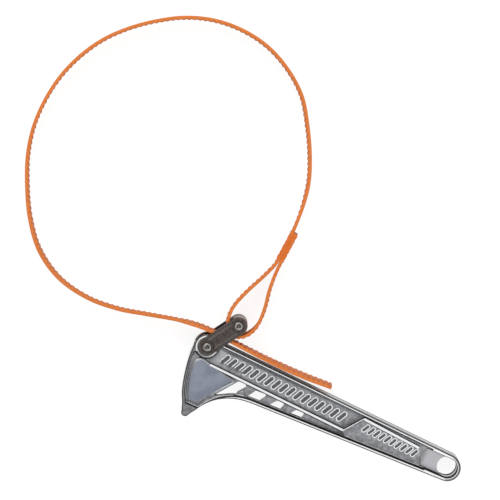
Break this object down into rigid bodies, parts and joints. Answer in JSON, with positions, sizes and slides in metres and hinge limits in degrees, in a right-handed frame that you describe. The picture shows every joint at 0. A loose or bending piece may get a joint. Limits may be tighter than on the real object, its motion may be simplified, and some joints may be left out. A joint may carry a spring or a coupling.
{
  "type": "strap wrench",
  "caption": "Strap wrench: a cast I-section handle with a heel and hang hole, a riveted link on its head, and a webbing strap sewn to the link and fed back through it.",
  "frame": {"origin": "on the pivot's axis, at the outer face of the pivot pin's rear head, which is the bench plane with the wrench lying on its side", "axes": "+X along the handle to its hang hole, +Y towards the strap's loop, +Z along the pins and across the strap's width, out of the front side"},
  "size_m": [0.5481, 0.3889, 0.036],
  "materials": {
    "cast_aluminium": "bright cast aluminium, polished edges, satin recesses",
    "blackened_steel": "dark brown-black oxide, worn at the edges",
    "pin_steel": "dull steel, turned",
    "webbing": "stiff woven webbing, saturated orange, cross ribs on one face",
    "thread": "orange sewing thread"
  },
  "bodies": {
    "handle": {"handle": "cast_aluminium", "strap_throat": "webbing"},
    "link": {"front_link_plate": "blackened_steel", "rear_link_plate": "blackened_steel", "pivot_pin": "pin_steel", "anchor_pin": "pin_steel", "pivot_sleeve": "pin_steel", "anchor_sleeve": "pin_steel"},
    "strap_loop": {"strap_loop": "webbing", "strap_eye": "webbing", "left_stitching": "thread", "right_stitching": "thread"},
    "strap_tail": {"strap_tail": "webbing"},
    "strap_tail_end": {"strap_tail_end": "webbing"}
  },
  "joints": [
    {"name": "link_pivot", "type": "hinge", "parent": "handle", "child": "link", "pos_m": [0, 0, 0.018], "axis": [0, 0, 1], "range_deg": [-7, 55], "deforming": ["strap_throat"]},
    {"name": "eye_swing", "type": "hinge", "parent": "link", "child": "strap_loop", "pos_m": [0.02095, 0.03289, 0.018], "axis": [0, 0, 1], "range_deg": [-12, 12], "deforming": ["strap_throat"]},
    {"name": "strap_feed", "type": "slide", "parent": "handle", "child": "strap_tail", "axis": [1, 0, 0], "range_m": [-0.0165, 0.002], "deforming": ["strap_throat"]},
    {"name": "tail_lift", "type": "hinge", "parent": "strap_tail", "child": "strap_tail_end", "pos_m": [0.078, 0.0128, 0.018], "axis": [0, 0, 1], "range_deg": [-3, 45]}
  ],
  "couplings": [
    {"joint": "strap_feed", "follows": "link_pivot", "m_per_rad": -0.0157}
  ]
}
